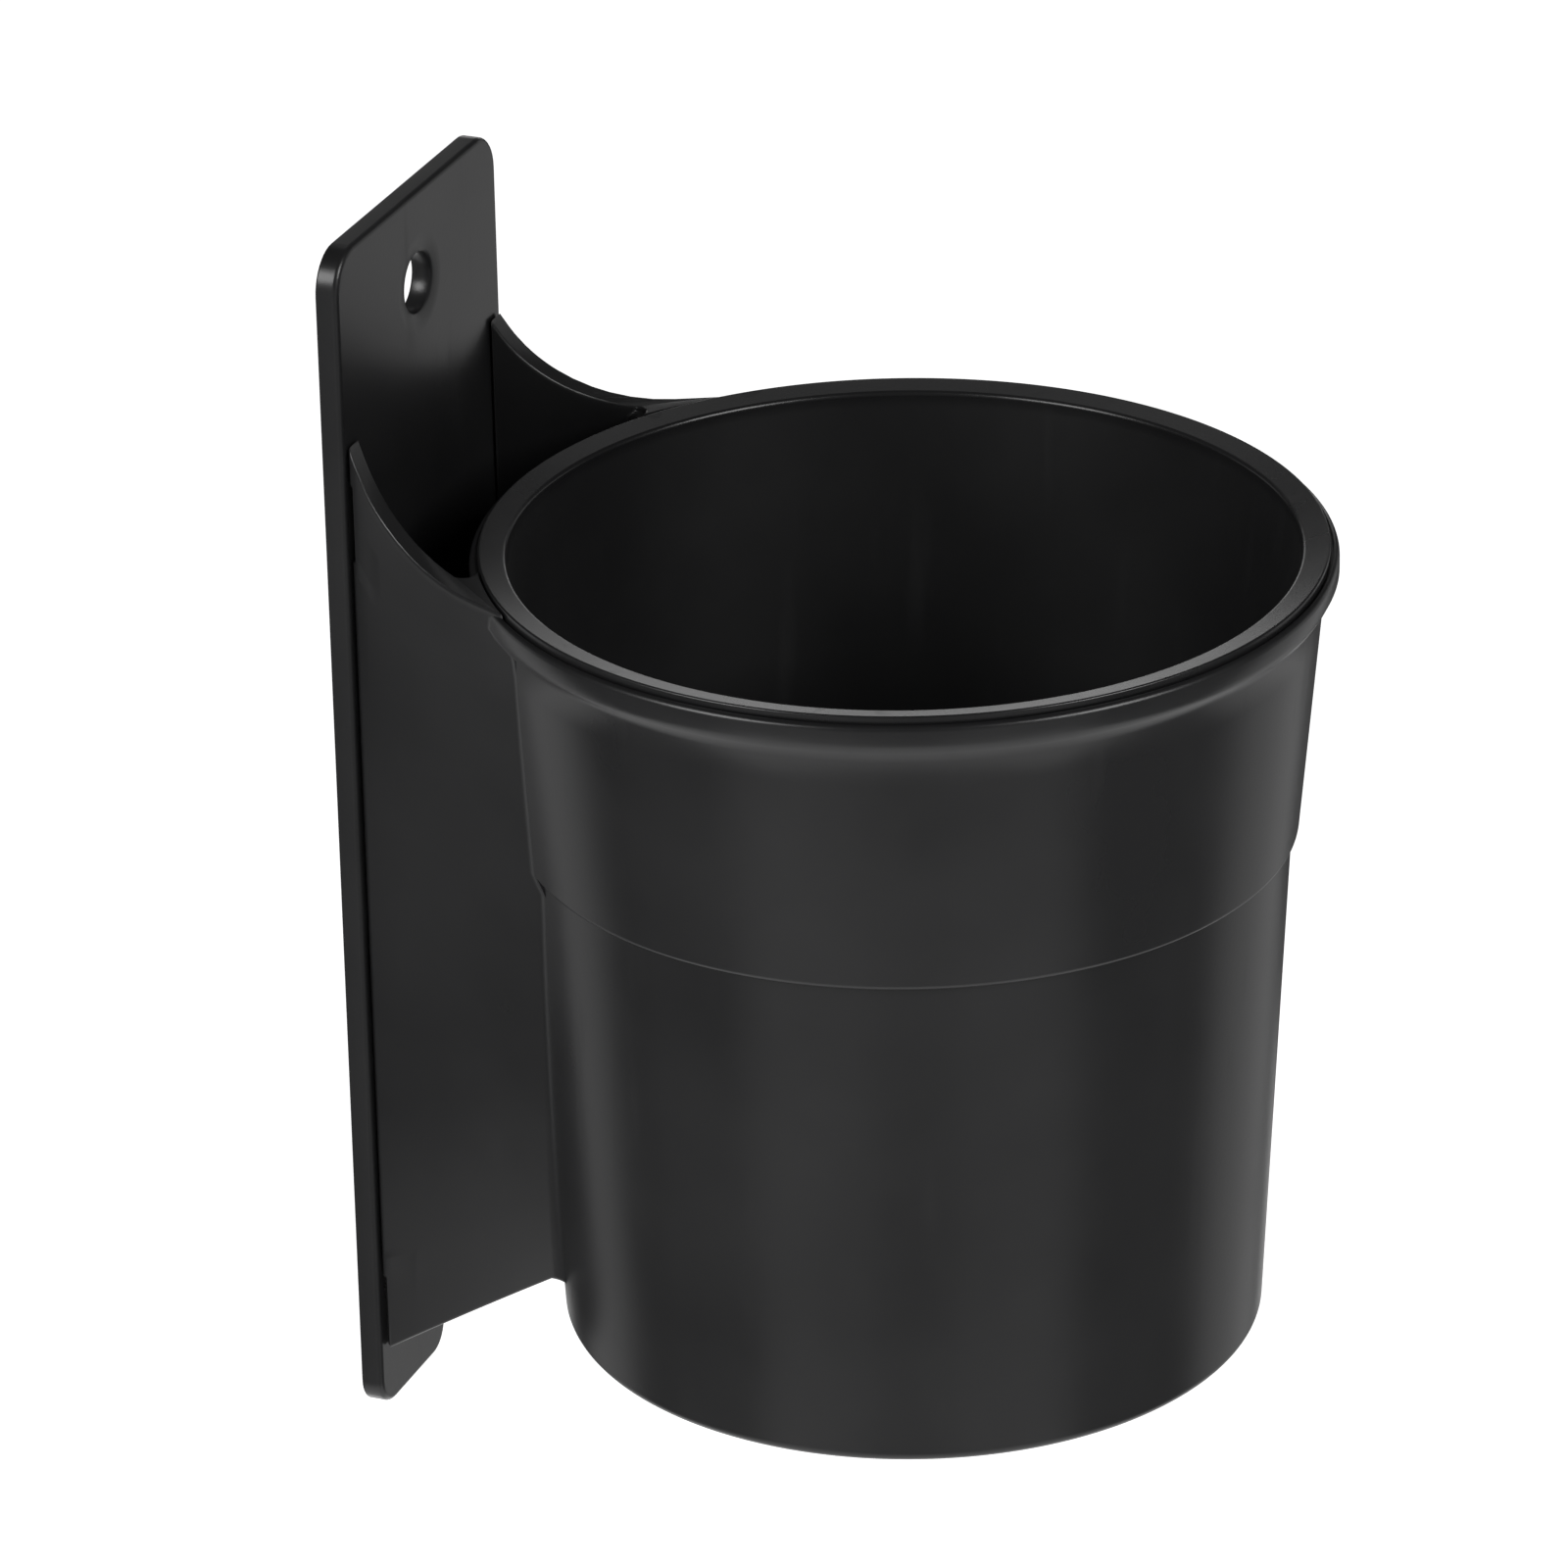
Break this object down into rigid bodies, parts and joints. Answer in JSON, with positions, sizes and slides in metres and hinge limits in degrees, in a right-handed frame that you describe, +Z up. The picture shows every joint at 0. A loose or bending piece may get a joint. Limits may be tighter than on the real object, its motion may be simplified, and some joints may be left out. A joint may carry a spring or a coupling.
{
  "type": "desk side cup holder",
  "caption": "Stepped round cup on two flared side webs that drops onto a flat screw-on back plate, with a thin drop-in insert hung by its lip.",
  "frame": {"origin": "centre of the plate's screw hole, on the plate's back face, which lies on the desk's side", "axes": "+Z up, +Y into the desk's side (out of the plate's back), -Y towards the cup, X along the desk's side"},
  "size_m": [0.0902, 0.1016, 0.1344],
  "materials": {
    "plate_plastic": "fine satin moulding, black",
    "body_plastic": "fine satin moulding, black",
    "insert_plastic": "fine satin moulding, black"
  },
  "bodies": {
    "plate": {"back_plate": "plate_plastic"},
    "holder": {"holder_body": "body_plastic"},
    "insert": {"cup_insert": "insert_plastic"}
  },
  "joints": [
    {"name": "body_slide", "type": "slide", "parent": "plate", "child": "holder", "axis": [0, 0, 1], "range_m": [0, 0.062]},
    {"name": "insert_lift", "type": "slide", "parent": "holder", "child": "insert", "axis": [0, 0, 1], "range_m": [0, 0.088]}
  ]
}
